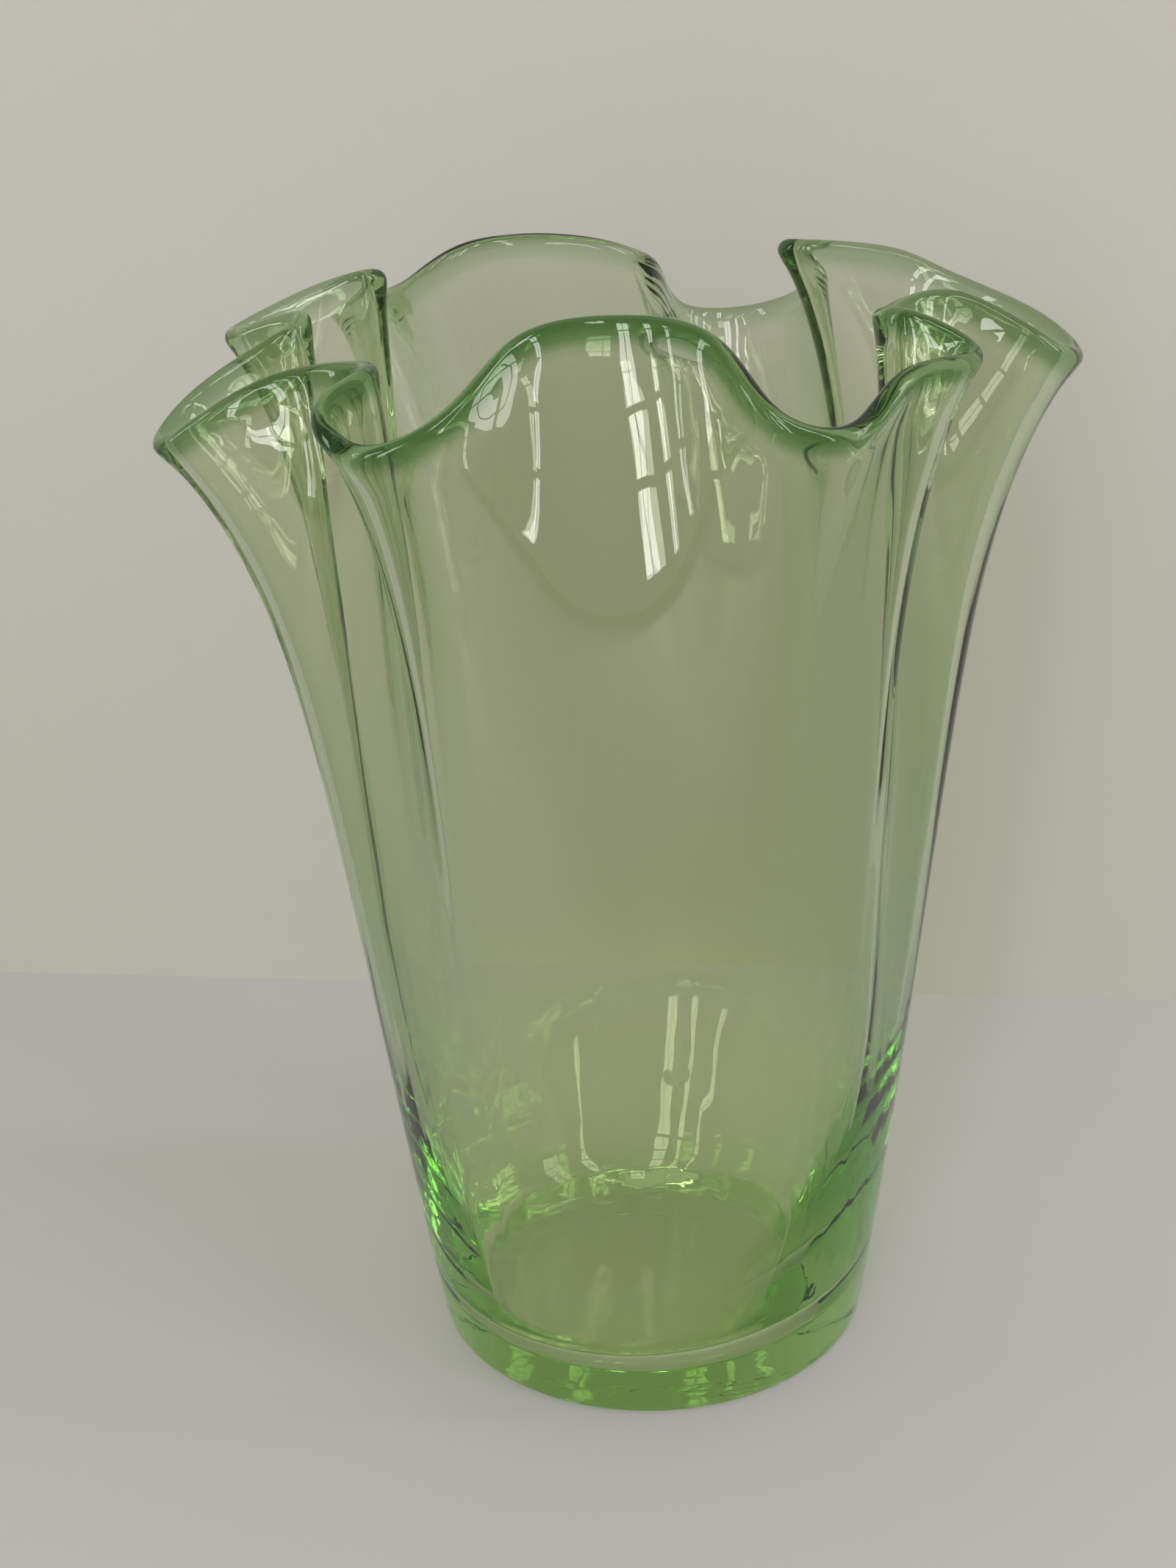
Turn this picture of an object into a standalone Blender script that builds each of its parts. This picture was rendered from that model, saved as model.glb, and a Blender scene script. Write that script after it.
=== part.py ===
"""Handkerchief vase in clear green glass.

One blown piece: a thick round base, a round body that widens slowly, and a rim that was
spread while hot and let fall into seven outward lobes with seven inward folds between them.
The lobes droop, so they are lower than the folds.

+Z is up, the origin is the centre of the flat underside, and the front is towards -Y.
Sizes are in millimetres and become metres where the mesh is made.
"""
import math

import bmesh
import bpy
import numpy as np

# Driving dimensions
HEIGHT = 254.5            # level from which the rim's drops are measured, just over its highest fold
RIM_RADIUS = 72.0         # mean radius of the rim, from which lobes reach out and folds in
RUFFLE_REACH = 32.0       # reach of the rim's furthest pull points beyond RIM_RADIUS
RUFFLE_DROP = 35.0        # drop of its lowest pull point below HEIGHT
FOOT_RADIUS = 51.6        # outer radius of the body, carried down to the table
BODY_GROWTH = 13.8        # how much wider the radius of the body gets further up
GROWTH_HEIGHT = 171.0     # level where that growth has eased off to nothing
CURL_SHARE = 0.3          # share of the ruffle that only comes in just under the rim
CURL_POWER = 12.0         # how late that share comes in

WALL = 3.2                # glass thickness of the upper body
HEEL = 9.0                # extra glass inside the wall, carried down to the table
HEEL_FADE = 45.0          # height over which the heel thins away
HEEL_SHIFT = 5.6          # how far the hollow lies off centre at the foot
HEEL_TURN = -34.0         # direction of that shift, in degrees from the front towards the right
LIP = 4.4                 # diameter of the fire-polished bead along the rim
LIP_DEPTH = 4.0           # distance over which the bead swells out of the wall
FLOOR_THICKNESS = 6.5     # glass under the inside floor
FLOOR_FILLET = 13.0       # height of the rounding between the inside floor and the wall
FLOOR_REACH = 12.0        # reach of that rounding over the floor
FLOOR_RETURN = 0.5        # share of the hollow's shift that the flat of the floor doesn't follow
FOOT_ROUNDING = 3.0       # rounding of the outer edge of the underside

# Facets
COLUMNS = 144             # round the vase
WALL_ROWS = 11            # up each side of the wall
LIP_STEPS = 4             # over the bead
FILLET_STEPS = 3          # round the floor's fillet and the foot's edge
BEND_LENGTH = 12.0        # rim length that one radian of bend counts for in spacing the columns

# The smooth closed curve of the rim is drawn by a cage of pull points, two to five to each lobe
# or fold, listed counter-clockwise as seen from above. Each point is an angle in degrees from the
# front, towards the right, and its reach and drop in hundredths of RUFFLE_REACH and RUFFLE_DROP.
# The first number of each lobe or fold is its power: the higher, the later it leaves the round body.
CAGE_SHARES = {
    "left lobe": (3.2, (-79, 100, 100), (-73, 38, 57), (-75, -6, 46)),
    "front left fold": (2.4, (-52, -50, 34), (-51, 34, 43)),
    "front left lobe": (3.2, (-38, 34, 74), (-27, -16, 46), (-27, -69, 11)),
    "front panel": (3.2, (-1, -97, 9), (21, -62, 11), (19, 9, 51)),
    "front right lobe": (3.2, (33, 28, 66), (43, 9, 31), (58, 22, 40), (66, 16, 37)),
    "right fold": (2.4, (59, -34, 11), (72, -59, 31), (90, -16, 14), (81, 50, 49)),
    "right lobe": (3.2, (90, 81, 69), (101, 66, 49), (113, 12, 29), (118, -6, 14)),
    "back right fold": (5.0, (127, -75, 6), (137, -66, 11), (135, -25, 23), (144, 19, 51)),
    "back right lobe": (3.6, (155, 50, 77), (172, 34, 83), (174, -12, 40)),
    "back panel": (3.2, (174, -78, 17), (199, -78, 3), (228, -69, 0)),
    "back left lobe": (3.2, (229, -16, 37), (223, 38, 46), (217, 75, 63), (222, 88, 69), (229, 66, 49)),
    "back left fold": (3.2, (234, 16, 40), (236, -22, 20), (243, -22, 17), (246, 12, 26)),
    "left rear lobe": (3.2, (251, 62, 49), (257, 62, 51)),
    "left fold": (2.4, (259, -16, 26), (270, 6, 40), (269, 69, 71)),
}
FRONT_POINT = 8           # place in the cage of the point at the middle of the front panel


def spline_weights(places, count):
    """Weights of a closed uniform cubic spline with that many pull points."""
    step = np.floor(places).astype(int)
    t = places - step
    parts = ((1 - t) ** 3, 3 * t ** 3 - 6 * t ** 2 + 4, -3 * t ** 3 + 3 * t ** 2 + 3 * t + 1, t ** 3)
    weights = np.zeros((len(places), count))
    rows = np.arange(len(places))
    for offset, part in enumerate(parts):
        weights[rows, (step - 1 + offset) % count] += part / 6
    return weights


def cage_points():
    """The rim's pull points in millimetres, each with its group's power."""
    points = []
    for power, *group in CAGE_SHARES.values():
        for angle, reach, drop in group:
            turn = math.radians(angle)
            radius = RIM_RADIUS + RUFFLE_REACH * reach / 100
            level = HEIGHT - RUFFLE_DROP * drop / 100
            points.append((radius * math.sin(turn), -radius * math.cos(turn), level, power))
    return np.array(points)


def running_sum(parts):
    return np.concatenate(([0], np.cumsum(parts)))


def rim_columns(columns):
    """Rim points with their powers, closer together in bends, and the body angle of each.

    The hot glass stretched evenly, so equal lengths of rim grow from equal angles of body.
    """
    cage = cage_points()
    count = len(cage)
    samples = 40 * count
    places = FRONT_POINT + np.arange(samples + 1) * count / samples
    chords = np.diff(spline_weights(places, count) @ cage[:, :3], axis=0)
    steps = np.linalg.norm(chords, axis=1)
    headings = chords / steps[:, None]
    bends = np.linalg.norm(headings - np.roll(headings, 1, axis=0), axis=1)
    lengths = running_sum(steps)
    spacing = running_sum(steps + BEND_LENGTH * bends)
    place = np.interp(np.arange(columns) * spacing[-1] / columns, spacing, places)
    share = np.interp(place, places, lengths) / lengths[-1]
    return spline_weights(place, count) @ cage, 2 * math.pi * share


def body_radius(height):
    """Outer radius of the round body, which widens quickly at the foot and eases off."""
    share = np.minimum(height / GROWTH_HEIGHT, 1)
    return FOOT_RADIUS + BODY_GROWTH * share * (2 - share)


def middle_surface(rim, angle, rise):
    """Middle of the upper wall; rise runs from 0 at the underside to 1 at the rim.

    Each column leaves the round body towards its rim point, by its own power of the rise.
    """
    height = rise * rim[:, 2]
    radius = body_radius(height) - WALL / 2
    round_x = radius * np.sin(angle)
    round_y = -radius * np.cos(angle)
    full = body_radius(rim[:, 2]) - WALL / 2
    spread = (1 - CURL_SHARE) * rise ** rim[:, 3] + CURL_SHARE * rise ** CURL_POWER
    x = round_x + spread * (rim[:, 0] - full * np.sin(angle))
    y = round_y + spread * (rim[:, 1] + full * np.cos(angle))
    return np.stack([x, y, height], axis=1)


def along_and_out(rim, angle, rise):
    """Unit directions up the wall and out of it."""
    small = 0.001
    up = middle_surface(rim, angle, rise + small) - middle_surface(rim, angle, rise - small)
    here = middle_surface(rim, angle, rise)
    around = np.roll(here, -1, axis=0) - np.roll(here, 1, axis=0)
    out = np.cross(around, up)
    up /= np.linalg.norm(up, axis=1)[:, None]
    out /= np.linalg.norm(out, axis=1)[:, None]
    return up, out


def half_wall(rim, rise):
    """Half the upper wall's thickness, with the bead's swelling near the rim."""
    below = (1 - rise) * rim[:, 2]
    swelling = (LIP - WALL) * np.exp(-(below / LIP_DEPTH) ** 2)
    return ((WALL + swelling) / 2)[:, None]


def outer_row(rim, angle, rise):
    _, out = along_and_out(rim, angle, rise)
    return middle_surface(rim, angle, rise) + half_wall(rim, rise) * out


def hollow_shift():
    """How far the hollow lies off centre at the foot, to the right and to the back."""
    turn = math.radians(HEEL_TURN)
    return HEEL_SHIFT * np.array((math.sin(turn), -math.cos(turn)))


def inner_row(rim, angle, rise):
    """A row inside the wall, where the heel thickens it and the hollow lies off centre."""
    _, out = along_and_out(rim, angle, rise)
    fade = np.exp(-(rise * rim[:, 2] / HEEL_FADE) ** 2)[:, None]
    row = middle_surface(rim, angle, rise) - (half_wall(rim, rise) + HEEL * fade) * out
    row[:, :2] += hollow_shift() * fade
    return row


def rises(start):
    """Levels of the wall's rows: even up the body, closer together near the rim."""
    steps = np.linspace(0, 1, WALL_ROWS)[:, None]
    eased = steps * (1.5 - 0.5 * steps)
    return start + (1 - start) * eased


def corner(edge, above, level, reach, aside=0.0):
    """Rows of a rounded corner from the lowest wall row down to a flat ring at a level.

    The ring lies inside the wall's foot by the reach, and aside shifts it as a whole.
    """
    centre = edge.mean(axis=0)
    slope = (above - edge)[:, :2] / (above - edge)[:, 2:]
    meet = edge[:, :2] - slope * (edge[:, 2:] - level)
    inward = centre[:2] - meet
    end = meet + inward * reach / np.linalg.norm(inward, axis=1)[:, None] + aside
    rows = []
    for step in range(1, FILLET_STEPS + 1):
        t = step / FILLET_STEPS
        flat = (1 - t) ** 2 * edge[:, :2] + 2 * t * (1 - t) * meet + t ** 2 * end
        drop = (1 - t) ** 2 * (edge[:, 2:] - level)
        rows.append(np.concatenate([flat, level + drop], axis=1))
    return rows


def glass_rows():
    """Closed rings of points from the underside, up outside, over the rim and down inside."""
    rim, angle = rim_columns(COLUMNS)
    outer = [outer_row(rim, angle, rise) for rise in rises(FOOT_ROUNDING / rim[:, 2])]
    up, out = along_and_out(rim, angle, 1.0)
    bead = []
    for step in range(1, LIP_STEPS):
        turn = math.pi * step / LIP_STEPS
        bead.append(rim[:, :3] + half_wall(rim, 1.0) * (math.cos(turn) * out + math.sin(turn) * up))
    inner_foot = (FLOOR_THICKNESS + FLOOR_FILLET) / rim[:, 2]
    inner = [inner_row(rim, angle, rise) for rise in rises(inner_foot)][::-1]
    foot = corner(outer[0], outer[1], 0.0, FOOT_ROUNDING)[::-1]
    return_shift = -FLOOR_RETURN * hollow_shift()
    floor = corner(inner[-1], inner[-2], FLOOR_THICKNESS, FLOOR_REACH, return_shift)
    return foot + outer + bead + inner + floor


def glass_material():
    material = bpy.data.materials.new("green_glass")
    material.use_nodes = True
    shader = material.node_tree.nodes["Principled BSDF"]
    shader.inputs["Base Color"].default_value = (0.62, 0.86, 0.52, 1)
    shader.inputs["Metallic"].default_value = 0.0
    shader.inputs["Roughness"].default_value = 0.03
    shader.inputs["IOR"].default_value = 1.5
    shader.inputs["Transmission Weight"].default_value = 1.0
    material.diffuse_color = (0.55, 0.80, 0.45, 0.6)
    return material


def make_vase():
    rows = glass_rows()
    form = bmesh.new()
    rings = [[form.verts.new(point / 1000) for point in row] for row in rows]
    for lower, upper in zip(rings, rings[1:]):
        for i in range(COLUMNS):
            j = (i + 1) % COLUMNS
            form.faces.new((lower[i], lower[j], upper[j], upper[i]))
    form.faces.new(rings[0][::-1])
    form.faces.new(rings[-1])
    mesh = bpy.data.meshes.new("vase")
    form.to_mesh(mesh)
    form.free()
    mesh.shade_smooth()
    mesh.set_sharp_from_angle(angle=math.radians(40))
    mesh.materials.append(glass_material())
    vase = bpy.data.objects.new("vase", mesh)
    bpy.context.scene.collection.objects.link(vase)
    return vase


for old in list(bpy.data.objects):
    bpy.data.objects.remove(old)
make_vase()
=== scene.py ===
"""Looks of the handkerchief vase: one piece of clear green glass on a pale table.

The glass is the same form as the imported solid, drawn from the same sizes with a much finer
mesh, because clear glass shows every facet twice: once on its face and once through it.
Sizes of the glass are in millimetres, and those of the room in metres.
"""

import math

import bpy
import numpy as np
from mathutils import Matrix, Vector


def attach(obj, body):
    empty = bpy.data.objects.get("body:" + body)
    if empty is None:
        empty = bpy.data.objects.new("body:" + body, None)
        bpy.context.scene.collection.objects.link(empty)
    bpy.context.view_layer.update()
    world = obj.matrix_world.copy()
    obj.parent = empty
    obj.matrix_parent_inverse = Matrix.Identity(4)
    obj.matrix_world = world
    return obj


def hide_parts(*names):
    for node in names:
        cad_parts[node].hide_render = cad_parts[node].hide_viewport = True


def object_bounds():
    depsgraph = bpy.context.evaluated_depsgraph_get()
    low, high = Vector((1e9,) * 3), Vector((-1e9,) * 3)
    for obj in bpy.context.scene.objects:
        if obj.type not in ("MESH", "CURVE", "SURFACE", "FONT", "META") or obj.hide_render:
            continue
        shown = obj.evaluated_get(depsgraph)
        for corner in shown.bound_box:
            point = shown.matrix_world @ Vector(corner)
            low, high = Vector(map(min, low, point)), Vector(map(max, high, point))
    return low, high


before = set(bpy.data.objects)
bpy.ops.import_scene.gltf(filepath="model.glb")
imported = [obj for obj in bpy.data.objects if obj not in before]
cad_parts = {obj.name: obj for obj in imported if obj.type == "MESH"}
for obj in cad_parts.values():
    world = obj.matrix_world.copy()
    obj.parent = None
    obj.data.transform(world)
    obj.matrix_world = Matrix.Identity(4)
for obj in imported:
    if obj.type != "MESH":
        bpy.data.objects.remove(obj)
CAD_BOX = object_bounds()
MILLIMETRES = 1000        # in a metre

# Glass, the same sizes as the part's
HEIGHT = 254.5            # level from which the rim's drops are measured
RIM_RADIUS = 72.0         # mean radius of the rim, from which lobes reach out and folds in
RUFFLE_REACH = 32.0       # reach of the rim's furthest pull points beyond RIM_RADIUS
RUFFLE_DROP = 35.0        # drop of its lowest pull point below HEIGHT
FOOT_RADIUS = 51.6        # outer radius of the body, carried down to the table
BODY_GROWTH = 13.8        # how much wider the radius of the body gets further up
GROWTH_HEIGHT = 171.0     # level where that growth has eased off to nothing
CURL_SHARE = 0.3          # share of the ruffle that only comes in just under the rim
CURL_POWER = 12.0         # how late that share comes in
WALL = 3.2                # glass thickness of the upper body
HEEL = 9.0                # extra glass inside the wall, carried down to the table
HEEL_FADE = 45.0          # height over which the heel thins away
HEEL_SHIFT = 5.6          # how far the hollow lies off centre at the foot
HEEL_TURN = -34.0         # direction of that shift, in degrees from the front towards the right
LIP = 4.4                 # diameter of the fire-polished bead along the rim
LIP_DEPTH = 4.0           # distance over which the bead swells out of the wall
FLOOR_THICKNESS = 6.5     # glass under the inside floor
FLOOR_FILLET = 13.0       # height of the rounding between the inside floor and the wall
FLOOR_REACH = 12.0        # reach of that rounding over the floor
FLOOR_RETURN = 0.5        # share of the hollow's shift that the flat of the floor doesn't follow
FOOT_ROUNDING = 3.0       # rounding of the outer edge of the underside
# Each lobe or fold of the rim: its power, then its pull points as angle, reach and drop
CAGE_SHARES = {
    "left lobe": (3.2, (-79, 100, 100), (-73, 38, 57), (-75, -6, 46)),
    "front left fold": (2.4, (-52, -50, 34), (-51, 34, 43)),
    "front left lobe": (3.2, (-38, 34, 74), (-27, -16, 46), (-27, -69, 11)),
    "front panel": (3.2, (-1, -97, 9), (21, -62, 11), (19, 9, 51)),
    "front right lobe": (3.2, (33, 28, 66), (43, 9, 31), (58, 22, 40), (66, 16, 37)),
    "right fold": (2.4, (59, -34, 11), (72, -59, 31), (90, -16, 14), (81, 50, 49)),
    "right lobe": (3.2, (90, 81, 69), (101, 66, 49), (113, 12, 29), (118, -6, 14)),
    "back right fold": (5.0, (127, -75, 6), (137, -66, 11), (135, -25, 23), (144, 19, 51)),
    "back right lobe": (3.6, (155, 50, 77), (172, 34, 83), (174, -12, 40)),
    "back panel": (3.2, (174, -78, 17), (199, -78, 3), (228, -69, 0)),
    "back left lobe": (3.2, (229, -16, 37), (223, 38, 46), (217, 75, 63), (222, 88, 69), (229, 66, 49)),
    "back left fold": (3.2, (234, 16, 40), (236, -22, 20), (243, -22, 17), (246, 12, 26)),
    "left rear lobe": (3.2, (251, 62, 49), (257, 62, 51)),
    "left fold": (2.4, (259, -16, 26), (270, 6, 40), (269, 69, 71)),
}
FRONT_POINT = 8           # place in the cage of the point at the middle of the front panel
BEND_LENGTH = 12.0        # rim length that one radian of bend counts for in spacing the columns
SPLINE_SAMPLES = 40       # places on the rim's curve for each pull point, for measuring its length
ROW_EASING = 0.5          # how much closer together the wall's rows get towards the rim

# How finely the glass is drawn
COLUMNS = 480             # round the vase
WALL_ROWS = 72            # up each side of the wall
LIP_STEPS = 16            # over the bead
FILLET_STEPS = 10         # round the floor's fillet and the foot's edge
FLAT_STEPS = 14           # across the underside and across the inside floor

# Colour of the glass: what its faces let through in the wall, the foot, the edges and the lip; the wall's
# carries painted shade and the foot's painted light
GLASS_IOR = 1.5
# The wall's faces: the glass's green, darkened further as painted shade for the vase's shade on the
# backdrop seen through them
WALL_TINT_AND_PAINTED_SHADE = (0.82, 0.85, 0.72)
# The foot's faces: lighter than the wall's, as painted light for the light that the glass gathers under
# the foot
FOOT_TINT_AND_PAINTED_LIGHT = (0.98, 1.0, 0.78)
EDGE_TINT = (0.25, 0.56, 0.18)
EDGE_POWER = 2.3          # how closely the deeper green keeps to faces seen edge on
LIP_TINT = (0.10, 0.34, 0.05)
LIP_TINT_DEPTH = 3.8      # distance from the rim over which the lip's green fades
LIP_FRONT = 90.0          # distance from the front to the back over which it weakens
LIP_BACK = 0.3            # share of it that is left at the back
FOOT_TOP = 30.0           # height up to which the glass has the foot's tint, with its painted light
FOOT_FADE = 50.0          # height over which the wall's tint, with its painted shade, then takes over
LIP_SHARE = "lip_share"   # names under which the mesh holds the shares of the two tints, the foot's with painted light
FOOT_SHARE = "foot_share"
WALL_SHADE = (0.88, 0.895, 0.82)  # what a face of the wall leaves of the lamps' light in the shadow
FOOT_SHADE = (1.0, 1.0, 0.96)     # and a face of the foot, which gathers light under it
DEPTH_COLOUR = (0.40, 0.72, 0.12)  # green that the thickness of the glass adds
DEPTH_DENSITY = 18.0

# Slight waves of blown glass
WAVES = (130.0, 130.0, 6.0)  # how close together they lie along each axis, so most are upright
WAVE_DETAIL = 1.0
WAVE_STRENGTH = 0.35
WAVE_HEIGHT = 0.0004      # in metres

# Camera, which stands in front of the vase and looks down on it
CAMERA_PLACE = (0.0, -0.498, 0.346)
CAMERA_DOWN = 22.74       # degrees below the horizon
CAMERA_TURN = -1.33       # degrees to the right
CAMERA_ROLL = -2.11       # degrees about its own axis
FOCAL_PIXELS = 3204.0     # focal length in pixels of the photograph
FRAME_PIXELS = 1600.0     # width of the photograph
SENSOR = 36.0             # width of the camera's sensor, in its own millimetres
BOUNCES = 18              # reflections and passes that the light is followed through

# Room
TABLE_GAP = 0.0002        # air between the foot and the table
WALL_PLACE = (0.0, 0.161)  # a point at the bottom of the backdrop
WALL_TURN = -6.1          # degrees by which the backdrop is turned about the vertical
ROOM = 3.0                # how far the table and the backdrop reach
TABLE_COLOUR = (0.46, 0.45, 0.44)
TABLE_ROUGHNESS = 0.6
WALL_COLOUR = (0.455, 0.445, 0.40)
WALL_ROUGHNESS = 0.8

# Light: an even room, with lamps that each have an azimuth, rise, distance, width, height and power
ROOM_LIGHT = (1.0, 0.99, 0.97)
ROOM_STRENGTH = 0.32
FAR_COLOUR = (0.50, 0.49, 0.45)  # what is seen past the table and the backdrop
WINDOW_COLOUR = (1.0, 0.985, 0.965)

# Soft lights, which light the room and don't show in the glass
SOFT_LIGHTS = (
    ("right_light", 92, 26, 2.0, 0.8, 1.5, 23),
    ("front_light", -12, 26, 2.2, 0.8, 1.1, 13),
)

# Windows, which show in the glass
WINDOWS = (
    ("front_window", -15, 23, 2.0, 0.24, 1.7, 8),
    ("second_window", -29, 23, 2.0, 0.12, 1.7, 4),
    ("third_window", -43, 23, 2.1, 0.08, 1.7, 2.5),
    ("slim_window", 36, 23, 2.0, 0.12, 1.7, 4),
    ("side_window", 64, 22, 2.1, 0.45, 1.7, 10),
    ("right_window", 92, 24, 2.0, 0.5, 1.6, 10),
    ("left_window", -78, 22, 2.2, 0.3, 1.6, 7),
    ("back_left_window", -118, 22, 2.2, 0.2, 1.4, 4),
    ("high_window", -2, 62, 2.0, 0.2, 0.7, 3),
    ("high_side_window", 40, 62, 2.0, 0.2, 0.7, 3),
)
LIT_PLACE = (0, 0, 0.12)   # what the lamps face
PANE_COLUMNS = 2
PANE_ROWS = 4
PANE_SHARE = 0.86         # share of a pane's width and height that is bright, and not frame
SIDE_AZIMUTH = 70         # windows further round show on the glass and not through it


def spline_weights(places, count):
    """Weights of a closed uniform cubic spline with that many pull points."""
    step = np.floor(places).astype(int)
    t = places - step
    parts = ((1 - t) ** 3, 3 * t ** 3 - 6 * t ** 2 + 4, -3 * t ** 3 + 3 * t ** 2 + 3 * t + 1, t ** 3)
    weights = np.zeros((len(places), count))
    rows = np.arange(len(places))
    for offset, part in enumerate(parts):
        weights[rows, (step - 1 + offset) % count] += part / 6
    return weights


def cage_points():
    """The rim's pull points in millimetres, each with its group's power."""
    points = []
    for power, *group in CAGE_SHARES.values():
        for angle, reach, drop in group:
            turn = math.radians(angle)
            radius = RIM_RADIUS + RUFFLE_REACH * reach / 100
            level = HEIGHT - RUFFLE_DROP * drop / 100
            points.append((radius * math.sin(turn), -radius * math.cos(turn), level, power))
    return np.array(points)


def running_sum(parts):
    return np.concatenate(([0], np.cumsum(parts)))


def rim_columns(columns):
    """Rim points with their powers, closer together in bends, and the body angle of each."""
    cage = cage_points()
    count = len(cage)
    samples = SPLINE_SAMPLES * count
    places = FRONT_POINT + np.arange(samples + 1) * count / samples
    chords = np.diff(spline_weights(places, count) @ cage[:, :3], axis=0)
    steps = np.linalg.norm(chords, axis=1)
    headings = chords / steps[:, None]
    bends = np.linalg.norm(headings - np.roll(headings, 1, axis=0), axis=1)
    lengths = running_sum(steps)
    spacing = running_sum(steps + BEND_LENGTH * bends)
    place = np.interp(np.arange(columns) * spacing[-1] / columns, spacing, places)
    share = np.interp(place, places, lengths) / lengths[-1]
    return spline_weights(place, count) @ cage, 2 * math.pi * share


def body_radius(height):
    """Outer radius of the round body, which widens quickly at the foot and eases off."""
    share = np.minimum(height / GROWTH_HEIGHT, 1)
    return FOOT_RADIUS + BODY_GROWTH * share * (2 - share)


def middle_surface(rim, angle, rise):
    """Middle of the upper wall; rise runs from 0 at the underside to 1 at the rim."""
    height = rise * rim[:, 2]
    radius = body_radius(height) - WALL / 2
    round_x = radius * np.sin(angle)
    round_y = -radius * np.cos(angle)
    full = body_radius(rim[:, 2]) - WALL / 2
    spread = (1 - CURL_SHARE) * rise ** rim[:, 3] + CURL_SHARE * rise ** CURL_POWER
    x = round_x + spread * (rim[:, 0] - full * np.sin(angle))
    y = round_y + spread * (rim[:, 1] + full * np.cos(angle))
    return np.stack([x, y, height], axis=1)


def along_and_out(rim, angle, rise):
    """Unit directions up the wall and out of it."""
    small = 0.001
    up = middle_surface(rim, angle, rise + small) - middle_surface(rim, angle, rise - small)
    here = middle_surface(rim, angle, rise)
    around = np.roll(here, -1, axis=0) - np.roll(here, 1, axis=0)
    out = np.cross(around, up)
    up /= np.linalg.norm(up, axis=1)[:, None]
    out /= np.linalg.norm(out, axis=1)[:, None]
    return up, out


def half_wall(rim, rise):
    """Half the upper wall's thickness, with the bead's swelling near the rim."""
    below = (1 - rise) * rim[:, 2]
    swelling = (LIP - WALL) * np.exp(-(below / LIP_DEPTH) ** 2)
    return ((WALL + swelling) / 2)[:, None]


def outer_row(rim, angle, rise):
    _, out = along_and_out(rim, angle, rise)
    return middle_surface(rim, angle, rise) + half_wall(rim, rise) * out


def hollow_shift():
    """How far the hollow lies off centre at the foot, to the right and to the back."""
    turn = math.radians(HEEL_TURN)
    return HEEL_SHIFT * np.array((math.sin(turn), -math.cos(turn)))


def inner_row(rim, angle, rise):
    """A row inside the wall, where the heel thickens it and the hollow lies off centre."""
    _, out = along_and_out(rim, angle, rise)
    fade = np.exp(-(rise * rim[:, 2] / HEEL_FADE) ** 2)[:, None]
    row = middle_surface(rim, angle, rise) - (half_wall(rim, rise) + HEEL * fade) * out
    row[:, :2] += hollow_shift() * fade
    return row


def rises(start):
    """Levels of the wall's rows: even up the body, closer together near the rim."""
    steps = np.linspace(0, 1, WALL_ROWS)[:, None]
    eased = steps * (1 + ROW_EASING - ROW_EASING * steps)
    return start + (1 - start) * eased


def corner(edge, above, level, reach, aside=0.0):
    """Rows of a rounded corner from the lowest wall row down to a flat ring at a level.

    The ring lies inside the wall's foot by the reach, and aside shifts it as a whole.
    """
    centre = edge.mean(axis=0)
    slope = (above - edge)[:, :2] / (above - edge)[:, 2:]
    meet = edge[:, :2] - slope * (edge[:, 2:] - level)
    inward = centre[:2] - meet
    end = meet + inward * reach / np.linalg.norm(inward, axis=1)[:, None] + aside
    rows = []
    for step in range(1, FILLET_STEPS + 1):
        t = step / FILLET_STEPS
        flat = (1 - t) ** 2 * edge[:, :2] + 2 * t * (1 - t) * meet + t ** 2 * end
        drop = (1 - t) ** 2 * (edge[:, 2:] - level)
        rows.append(np.concatenate([flat, level + drop], axis=1))
    return rows


def flat_rows(ring):
    """Rings that shrink evenly from a flat ring towards its centre."""
    centre = ring.mean(axis=0)
    return [centre + (ring - centre) * (1 - step / FLAT_STEPS) for step in range(1, FLAT_STEPS)]


def glass_rows():
    """Closed rings of points from the underside, up outside, over the rim and down inside."""
    rim, angle = rim_columns(COLUMNS)
    outer = [outer_row(rim, angle, rise) for rise in rises(FOOT_ROUNDING / rim[:, 2])]
    up, out = along_and_out(rim, angle, 1.0)
    bead = []
    for step in range(1, LIP_STEPS):
        turn = math.pi * step / LIP_STEPS
        bead.append(rim[:, :3] + half_wall(rim, 1.0) * (math.cos(turn) * out + math.sin(turn) * up))
    inner_foot = (FLOOR_THICKNESS + FLOOR_FILLET) / rim[:, 2]
    inner = [inner_row(rim, angle, rise) for rise in rises(inner_foot)][::-1]
    foot = corner(outer[0], outer[1], 0.0, FOOT_ROUNDING)
    return_shift = -FLOOR_RETURN * hollow_shift()
    floor = corner(inner[-1], inner[-2], FLOOR_THICKNESS, FLOOR_REACH, return_shift)
    under = flat_rows(foot[-1])[::-1]
    disc = flat_rows(floor[-1])
    return under + foot[::-1] + outer + bead + inner + floor + disc


def node(tree, kind, **values):
    """A new node with input values by socket name."""
    new = tree.nodes.new(kind)
    for name, value in values.items():
        new.inputs[name.replace("_", " ")].default_value = value
    return new


def mixed_colour(tree, share, low, high):
    """A colour that goes from low to high with a share; either may be another node's output."""
    mix = node(tree, "ShaderNodeMix")
    mix.data_type = "RGBA"
    tree.links.new(share, mix.inputs["Factor"])
    for name, colour in (("A", low), ("B", high)):
        socket = next(each for each in mix.inputs if each.name == name and each.type == "RGBA")
        if isinstance(colour, tuple):
            socket.default_value = (*colour, 1)
        else:
            tree.links.new(colour, socket)
    return next(each for each in mix.outputs if each.type == "RGBA")


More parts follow.
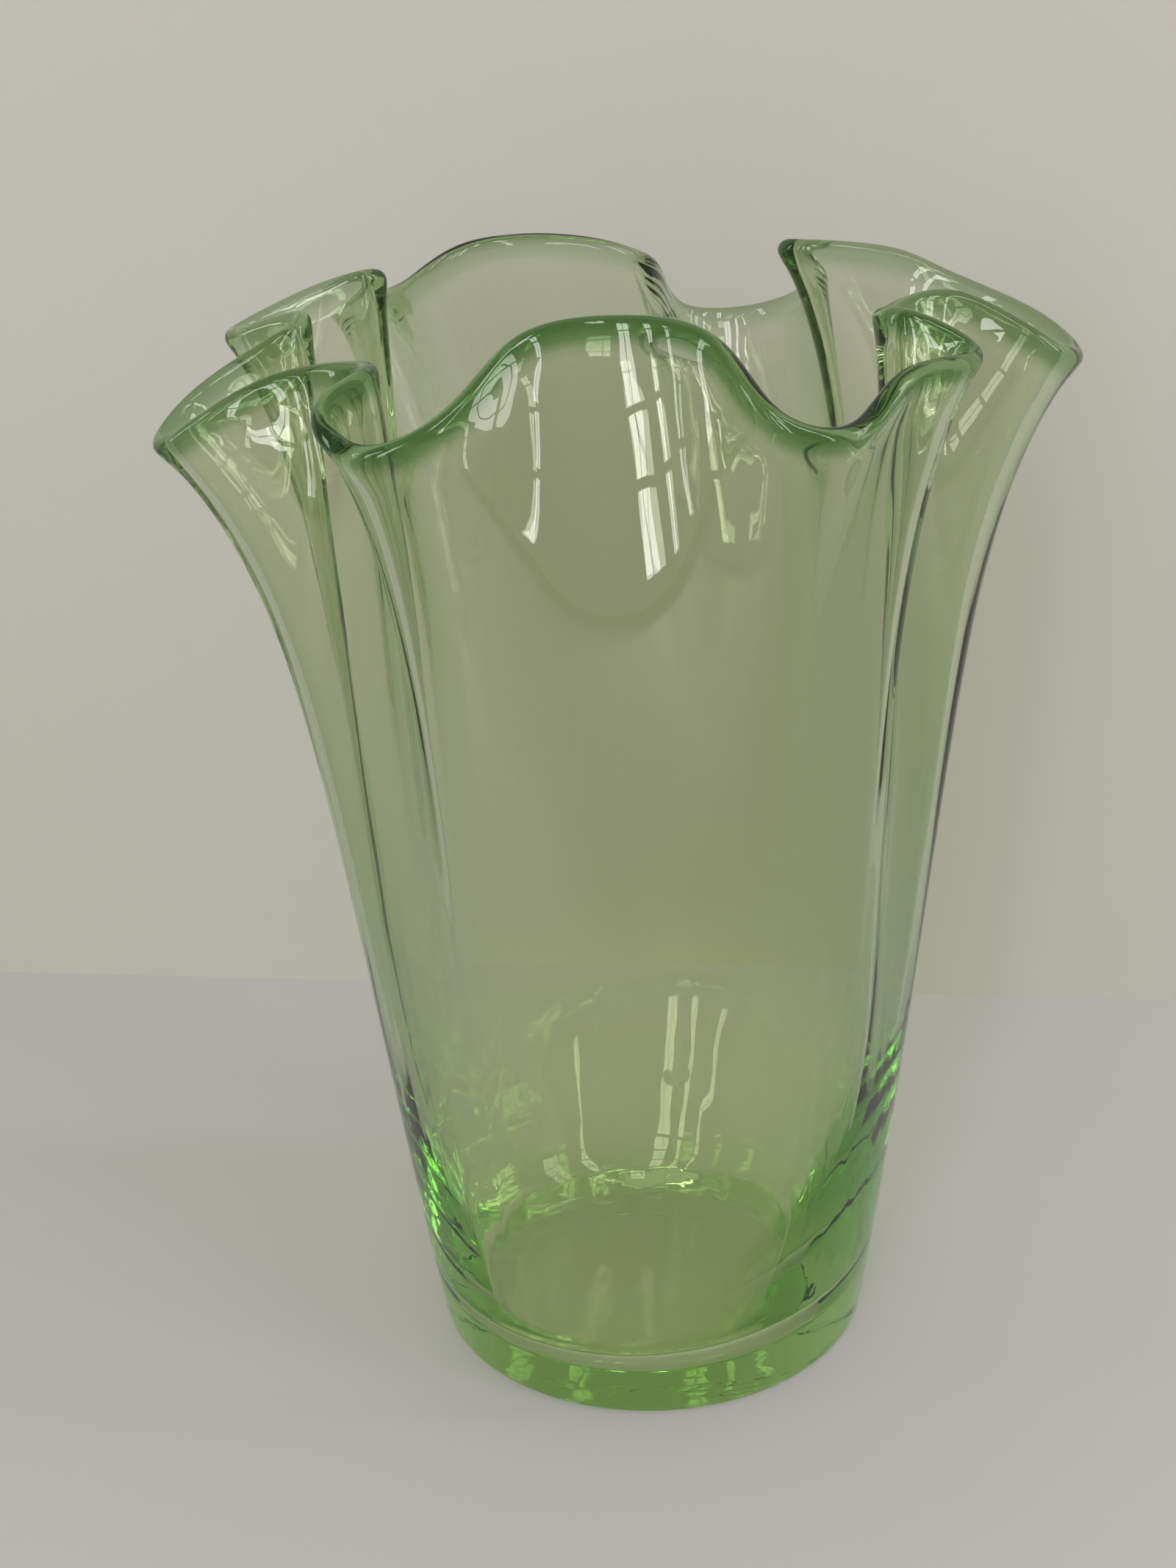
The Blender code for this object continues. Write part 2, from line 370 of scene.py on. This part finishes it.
def edge_share(tree):
    """How nearly the glass is seen edge on, where more of it lies in the line of sight."""
    facing = node(tree, "ShaderNodeLayerWeight", Blend=0.5)
    power = node(tree, "ShaderNodeMath")
    power.operation = "POWER"
    power.inputs[1].default_value = EDGE_POWER
    tree.links.new(facing.outputs["Facing"], power.inputs[0])
    return power.outputs[0]


def waves(tree):
    """The slight upright waves that blown glass has."""
    place = node(tree, "ShaderNodeTexCoord")
    spread = node(tree, "ShaderNodeMapping", Scale=WAVES)
    noise = node(tree, "ShaderNodeTexNoise", Scale=1.0, Detail=WAVE_DETAIL)
    bump = node(tree, "ShaderNodeBump", Strength=WAVE_STRENGTH, Distance=WAVE_HEIGHT)
    tree.links.new(place.outputs["Object"], spread.inputs["Vector"])
    tree.links.new(spread.outputs[0], noise.inputs["Vector"])
    tree.links.new(noise.outputs[0], bump.inputs["Height"])
    return bump.outputs[0]


def mesh_share(tree, name):
    """A share that the mesh holds for each of its points."""
    share = node(tree, "ShaderNodeAttribute")
    share.attribute_name = name
    return share.outputs["Fac"]


def glass_material():
    """Green glass: clear, absorbing through its thickness, and it lets tinted light through; the faces'
    colour holds painted shade in the wall and painted light in the foot.
    """
    material = bpy.data.materials.new("green_glass")
    material.use_nodes = True
    tree = material.node_tree
    tree.nodes.clear()
    foot = mesh_share(tree, FOOT_SHARE)
    lip = mesh_share(tree, LIP_SHARE)
    # The faces' colour: painted shade in the wall, painted light in the foot, then the deeper green of
    # edges and lip
    tint_and_painted_light = mixed_colour(tree, foot, WALL_TINT_AND_PAINTED_SHADE, FOOT_TINT_AND_PAINTED_LIGHT)
    tint_and_painted_light = mixed_colour(tree, edge_share(tree), tint_and_painted_light, EDGE_TINT)
    tint_and_painted_light = mixed_colour(tree, lip, tint_and_painted_light, LIP_TINT)
    shade = mixed_colour(tree, foot, WALL_SHADE, FOOT_SHADE)
    shader = node(tree, "ShaderNodeBsdfPrincipled", Roughness=0.0, IOR=GLASS_IOR, Transmission_Weight=1.0)
    passing = node(tree, "ShaderNodeBsdfTransparent")
    path = node(tree, "ShaderNodeLightPath")
    mix = node(tree, "ShaderNodeMixShader")
    tree.links.new(tint_and_painted_light, shader.inputs["Base Color"])
    tree.links.new(waves(tree), shader.inputs["Normal"])
    tree.links.new(shade, passing.inputs["Color"])
    tree.links.new(path.outputs["Is Shadow Ray"], mix.inputs[0])
    tree.links.new(shader.outputs[0], mix.inputs[1])
    tree.links.new(passing.outputs[0], mix.inputs[2])
    inside = node(tree, "ShaderNodeVolumeAbsorption", Density=DEPTH_DENSITY)
    inside.inputs["Color"].default_value = (*DEPTH_COLOUR, 1)
    end = node(tree, "ShaderNodeOutputMaterial")
    tree.links.new(mix.outputs[0], end.inputs["Surface"])
    tree.links.new(inside.outputs[0], end.inputs["Volume"])
    return material


def foot_shares(points):
    """How much each point belongs to the foot, going by its height."""
    # This share also carries the foot's painted light into the glass's colour.
    return np.clip((FOOT_TOP + FOOT_FADE - points[:, 2]) / FOOT_FADE, 0, 1)


def lip_shares(points):
    """How much of the lip's deeper green each point has: most at the front of the rim."""
    rim, _ = rim_columns(COLUMNS)
    columns = np.resize(np.arange(COLUMNS), len(points))
    below = np.linalg.norm(points - rim[columns, :3], axis=1)
    front = np.clip(0.5 - rim[columns, 1] / LIP_FRONT, 0, 1)
    return (LIP_BACK + (1 - LIP_BACK) * front) * np.exp(-(below / LIP_TINT_DEPTH) ** 4)


def inside_box(points):
    """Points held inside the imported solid's box, which the finer mesh would pass by a hair."""
    lowest, highest = (MILLIMETRES * np.array(corner) for corner in CAD_BOX)
    return np.clip(points, lowest, highest)


def make_glass():
    """One closed mesh: the rings joined by quads, and its two middles closed by triangles."""
    rows = np.array(glass_rows())
    count = len(rows)
    middles = [rows[:1].mean(axis=1), rows[-1:].mean(axis=1)]
    points = inside_box(np.concatenate([rows.reshape(-1, 3), *middles]))
    low, high = count * COLUMNS, count * COLUMNS + 1
    faces = []
    for row in range(count - 1):
        for i in range(COLUMNS):
            j = (i + 1) % COLUMNS
            start, over = row * COLUMNS, (row + 1) * COLUMNS
            faces.append((start + i, start + j, over + j, over + i))
    last = (count - 1) * COLUMNS
    for i in range(COLUMNS):
        j = (i + 1) % COLUMNS
        faces.append((low, j, i))
        faces.append((high, last + i, last + j))
    mesh = bpy.data.meshes.new("glass")
    mesh.from_pydata((points / MILLIMETRES).tolist(), [], faces)
    mesh.shade_smooth()
    for name, shares in ((LIP_SHARE, lip_shares(points)), (FOOT_SHARE, foot_shares(points))):
        mesh.attributes.new(name, "FLOAT", "POINT").data.foreach_set("value", shares)
    mesh.materials.append(glass_material())
    glass = bpy.data.objects.new("glass", mesh)
    bpy.context.scene.collection.objects.link(glass)
    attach(glass, "root")
    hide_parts("vase")


def plain_material(name, colour, roughness):
    material = bpy.data.materials.new(name)
    material.use_nodes = True
    shader = material.node_tree.nodes["Principled BSDF"]
    shader.inputs["Base Color"].default_value = (*colour, 1)
    shader.inputs["Roughness"].default_value = roughness
    return material


def one_sided(material):
    """Lets everything through from behind, so that the backdrop hides nothing from there."""
    tree = material.node_tree
    side = node(tree, "ShaderNodeNewGeometry")
    clear = node(tree, "ShaderNodeBsdfTransparent")
    mix = node(tree, "ShaderNodeMixShader")
    tree.links.new(side.outputs["Backfacing"], mix.inputs[0])
    tree.links.new(tree.nodes["Principled BSDF"].outputs[0], mix.inputs[1])
    tree.links.new(clear.outputs[0], mix.inputs[2])
    tree.links.new(mix.outputs[0], tree.nodes["Material Output"].inputs["Surface"])
    return material


def make_sheet(name, corners, material):
    """A flat stage surface with those corners."""
    mesh = bpy.data.meshes.new(name)
    mesh.from_pydata(corners, [], [(0, 1, 2, 3)])
    mesh.materials.append(material)
    sheet = bpy.data.objects.new(name, mesh)
    bpy.context.scene.collection.objects.link(sheet)


def make_room():
    low = -TABLE_GAP
    table = [(-ROOM, -ROOM, low), (ROOM, -ROOM, low), (ROOM, ROOM, low), (-ROOM, ROOM, low)]
    make_sheet("table", table, plain_material("table", TABLE_COLOUR, TABLE_ROUGHNESS))
    turn = math.radians(WALL_TURN)
    along = Vector((math.cos(turn), math.sin(turn), 0)) * ROOM
    foot = Vector((*WALL_PLACE, low))
    top = Vector((0, 0, ROOM))
    wall = [foot - along, foot + along, foot + along + top, foot - along + top]
    plaster = one_sided(plain_material("wall", WALL_COLOUR, WALL_ROUGHNESS))
    make_sheet("backdrop", [tuple(point) for point in wall], plaster)


def make_camera():
    down, turn, roll = (math.radians(a) for a in (CAMERA_DOWN, CAMERA_TURN, CAMERA_ROLL))
    ahead = Vector((math.sin(turn) * math.cos(down), math.cos(turn) * math.cos(down), -math.sin(down)))
    right = ahead.cross(Vector((0, 0, 1))).normalized()
    up = right.cross(ahead)
    side = right * math.cos(roll) + up * math.sin(roll)
    top = up * math.cos(roll) - right * math.sin(roll)
    data = bpy.data.cameras.new("camera")
    data.sensor_fit = "HORIZONTAL"
    data.sensor_width = SENSOR
    data.lens = SENSOR * FOCAL_PIXELS / FRAME_PIXELS
    camera = bpy.data.objects.new("camera", data)
    turned = Matrix((side, top, -ahead)).transposed().to_4x4()
    camera.matrix_world = Matrix.Translation(CAMERA_PLACE) @ turned
    bpy.context.scene.collection.objects.link(camera)
    bpy.context.scene.camera = camera


def make_lamps(name, azimuth, rise, distance, width, height, power, columns, rows, seen):
    """Daylight from a window: a lamp for each of its panes, facing the vase.

    Azimuth is in degrees from the front towards the right, and rise in degrees above the table.
    """
    turn, lift = math.radians(azimuth), math.radians(rise)
    away = Vector((math.sin(turn) * math.cos(lift), -math.cos(turn) * math.cos(lift), math.sin(lift)))
    middle = Vector(LIT_PLACE) + away * distance
    facing = away.to_track_quat("Z", "Y").to_matrix().to_4x4()
    pane_width = width / columns
    pane_height = height / rows
    for column in range(columns):
        for row in range(rows):
            data = bpy.data.lights.new(name, "AREA")
            data.shape = "RECTANGLE"
            data.size = pane_width * PANE_SHARE
            data.size_y = pane_height * PANE_SHARE
            data.energy = power / (columns * rows)
            data.color = WINDOW_COLOUR
            aside = (column + 0.5) * pane_width - width / 2
            up = (row + 0.5) * pane_height - height / 2
            lamp = bpy.data.objects.new(f"{name}_{column}_{row}", data)
            lamp.matrix_world = Matrix.Translation(middle) @ facing @ Matrix.Translation((aside, up, 0))
            lamp.visible_glossy = seen
            lamp.visible_transmission = seen and abs(azimuth) < SIDE_AZIMUTH
            bpy.context.scene.collection.objects.link(lamp)


def make_light():
    """An even room light, which looks pale where it is seen straight or through the glass."""
    world = bpy.data.worlds.new("world")
    bpy.context.scene.world = world
    world.use_nodes = True
    tree = world.node_tree
    even = tree.nodes["Background"]
    even.inputs["Color"].default_value = (*ROOM_LIGHT, 1)
    even.inputs["Strength"].default_value = ROOM_STRENGTH
    pale = node(tree, "ShaderNodeBackground", Color=(*FAR_COLOUR, 1), Strength=1.0)
    path = node(tree, "ShaderNodeLightPath")
    straight = node(tree, "ShaderNodeMath")
    straight.operation = "MAXIMUM"
    mix = node(tree, "ShaderNodeMixShader")
    tree.links.new(path.outputs["Is Camera Ray"], straight.inputs[0])
    tree.links.new(path.outputs["Is Transmission Ray"], straight.inputs[1])
    tree.links.new(straight.outputs[0], mix.inputs[0])
    tree.links.new(even.outputs[0], mix.inputs[1])
    tree.links.new(pale.outputs[0], mix.inputs[2])
    tree.links.new(mix.outputs[0], tree.nodes["World Output"].inputs["Surface"])
    for light in SOFT_LIGHTS:
        make_lamps(*light, columns=1, rows=1, seen=False)
    for window in WINDOWS:
        make_lamps(*window, columns=PANE_COLUMNS, rows=PANE_ROWS, seen=True)


def set_bounces():
    """Light runs along inside the glass of the rim and the foot by many reflections."""
    cycles = bpy.context.scene.cycles
    cycles.max_bounces = BOUNCES
    cycles.glossy_bounces = BOUNCES
    cycles.transmission_bounces = BOUNCES
    cycles.caustics_refractive = False
    cycles.caustics_reflective = False


make_camera()
make_room()
make_light()
make_glass()
bpy.context.scene.view_settings.view_transform = "Standard"
set_bounces()
